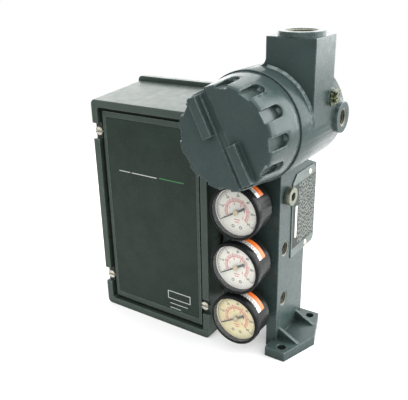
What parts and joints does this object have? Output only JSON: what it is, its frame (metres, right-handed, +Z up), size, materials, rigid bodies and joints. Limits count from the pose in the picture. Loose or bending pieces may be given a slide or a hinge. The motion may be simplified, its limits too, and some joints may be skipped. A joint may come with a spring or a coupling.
{
  "type": "valve positioner",
  "caption": "Pneumatic valve positioner: box case with cam and beam inside, a side manifold with stacked gauges and a foot, and a round converter with screw cap and conduit tower.",
  "frame": {"origin": "on the feedback shaft's axis, in the plane of the rear mounting face", "axes": "+Y out of the rear along the shaft, +X to the right seen from the front, +Z up"},
  "size_m": [0.191, 0.1497, 0.2425],
  "materials": {
    "paint": "semi-gloss dark slate paint on a light-alloy casting",
    "panel": "black label plate, satin",
    "rubber": "matt black",
    "nickel": "bright nickel plate",
    "brass": "satin brass",
    "steel": "turned steel",
    "relay_metal": "machined light alloy",
    "nameplate": "etched plate, bare fields",
    "gauge_black": "black enamel",
    "dial": null,
    "lens": "clear",
    "pointer": "matt black",
    "coil": "potting shell",
    "board": "green laminate"
  },
  "bodies": {
    "case": {"base_casting": "paint", "manifold": "paint", "converter_housing": "paint", "cover_gasket": "rubber", "manifold_gasket": "rubber", "converter_seal": "rubber", "port_plug": "nickel", "nameplate_screws": "nickel", "manifold_screws": "nickel", "relay_screws": "nickel", "converter_bolts": "nickel", "ground_screw": "nickel", "vent_plug": "brass", "shaft_bushing": "brass", "nozzle": "brass", "input_bellows": "brass", "terminal_screws": "brass", "ground_clamp": "brass", "gauge_movement_1": "brass", "gauge_movement_2": "brass", "gauge_movement_3": "brass", "lever_pivot": "steel", "beam_pivot": "steel", "relay_body": "relay_metal", "nameplate": "nameplate", "gauge_case_1": "gauge_black", "gauge_case_2": "gauge_black", "gauge_case_3": "gauge_black", "gauge_dial_1": "dial", "gauge_dial_2": "dial", "gauge_dial_3": "dial", "gauge_lens_1": "lens", "gauge_lens_2": "lens", "gauge_lens_3": "lens", "coil_module": "coil", "terminal_board": "board"},
    "front_cover": {"front_cover": "paint", "cover_panel": "panel", "cover_screws": "nickel"},
    "feedback_shaft": {"feedback_shaft": "steel", "cam": "brass", "cam_nut": "steel"},
    "feedback_lever": {"feedback_lever": "steel", "roller_pin": "steel"},
    "follower_roller": {"follower_roller": "nickel"},
    "summing_beam": {"summing_beam": "steel", "flapper": "nickel", "range_spring": "nickel"},
    "relay_spool": {"relay_spool": "steel"},
    "zero_knob": {"zero_knob": "brass"},
    "gauge_pointer_1": {"gauge_pointer_1": "pointer"},
    "gauge_pointer_2": {"gauge_pointer_2": "pointer"},
    "gauge_pointer_3": {"gauge_pointer_3": "pointer"},
    "cap_seal": {"cap_seal": "rubber"},
    "converter_cap": {"converter_cap": "paint"}
  },
  "joints": [
    {"name": "cover_lift", "type": "slide", "parent": "case", "child": "front_cover", "axis": [0, -1, 0], "range_m": [0, 0.09]},
    {"name": "shaft_turn", "type": "hinge", "parent": "case", "child": "feedback_shaft", "pos_m": [0, 0, 0], "axis": [0, 1, 0], "range_deg": [0, 90]},
    {"name": "lever_swing", "type": "hinge", "parent": "case", "child": "feedback_lever", "pos_m": [-0.0365, -0.0315, 0.0273], "axis": [0, 1, 0], "range_deg": [-14.4, 0], "deforming": ["range_spring"]},
    {"name": "roller_spin", "type": "hinge", "parent": "feedback_lever", "child": "follower_roller", "pos_m": [0, -0.027, 0.0273], "axis": [0, 1, 0], "continuous": true},
    {"name": "beam_tilt", "type": "hinge", "parent": "case", "child": "summing_beam", "pos_m": [-0.0025, -0.031, 0.0723], "axis": [0, 1, 0], "range_deg": [-1.5, 1.5], "stiffness_Nm_per_rad": 2, "deforming": ["range_spring"]},
    {"name": "spool_slide", "type": "slide", "parent": "case", "child": "relay_spool", "axis": [1, 0, 0], "range_m": [-0.0009, 0.0009]},
    {"name": "zero_turn", "type": "hinge", "parent": "case", "child": "zero_knob", "pos_m": [-0.0185, -0.031, 0.096], "axis": [0, 0, 1], "range_deg": [-540, 540]},
    {"name": "pointer_1_sweep", "type": "hinge", "parent": "case", "child": "gauge_pointer_1", "pos_m": [0.0855, -0.0889, -0.0256], "axis": [0, 1, 0], "range_deg": [0, 250], "stiffness_Nm_per_rad": 0.001},
    {"name": "pointer_2_sweep", "type": "hinge", "parent": "case", "child": "gauge_pointer_2", "pos_m": [0.0855, -0.0889, 0.0174], "axis": [0, 1, 0], "range_deg": [0, 250], "stiffness_Nm_per_rad": 0.001},
    {"name": "pointer_3_sweep", "type": "hinge", "parent": "case", "child": "gauge_pointer_3", "pos_m": [0.0855, -0.0889, 0.0604], "axis": [0, 1, 0], "range_deg": [0, 250], "stiffness_Nm_per_rad": 0.001},
    {"name": "cap_travel", "type": "slide", "parent": "case", "child": "cap_seal", "axis": [0, -1, 0], "range_m": [0, 0.0094]},
    {"name": "cap_turn", "type": "hinge", "parent": "cap_seal", "child": "converter_cap", "pos_m": [0.094, -0.098, 0.121], "axis": [0, -1, 0], "range_deg": [0, 1350]}
  ],
  "couplings": [
    {"joint": "lever_swing", "follows": "shaft_turn", "ratio": -0.16},
    {"joint": "spool_slide", "follows": "beam_tilt", "m_per_rad": 0.034},
    {"joint": "cap_travel", "follows": "cap_turn", "m_per_rad": 0.00039789}
  ]
}
